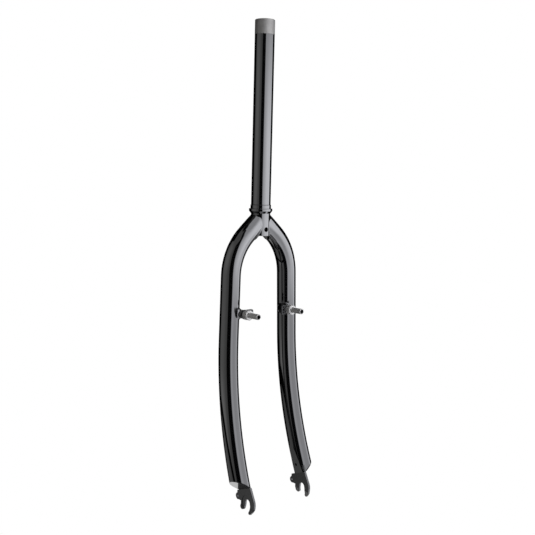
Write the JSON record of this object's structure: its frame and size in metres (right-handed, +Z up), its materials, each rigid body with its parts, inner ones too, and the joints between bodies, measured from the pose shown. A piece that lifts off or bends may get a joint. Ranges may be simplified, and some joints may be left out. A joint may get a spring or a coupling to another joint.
{
  "type": "rigid bicycle fork",
  "caption": "Rigid unicrown bicycle fork: long threadless steerer, curved tubular blades, posts for rim brakes, and slotted dropouts with bent tips.",
  "frame": {"origin": "on the steering axis, level with the shoulder that the crown race sits on", "axes": "+X forward, +Y to the rider's left, +Z up the steerer tube"},
  "size_m": [0.084, 0.1486, 0.698],
  "materials": {
    "steerer_paint": "gloss",
    "gloss_paint": "gloss",
    "dropout_paint": "satin",
    "plate_paint": "satin",
    "bare_steel": "satin"
  },
  "bodies": {
    "root": {"steerer_tube": "steerer_paint", "crown_race_seat": "gloss_paint", "left_blade": "gloss_paint", "left_dropout": "dropout_paint", "left_brake_boss": "gloss_paint", "left_spring_plate": "plate_paint", "left_brake_stud": "bare_steel", "right_blade": "gloss_paint", "right_dropout": "dropout_paint", "right_brake_boss": "gloss_paint", "right_spring_plate": "plate_paint", "right_brake_stud": "bare_steel"}
  },
  "joints": []
}
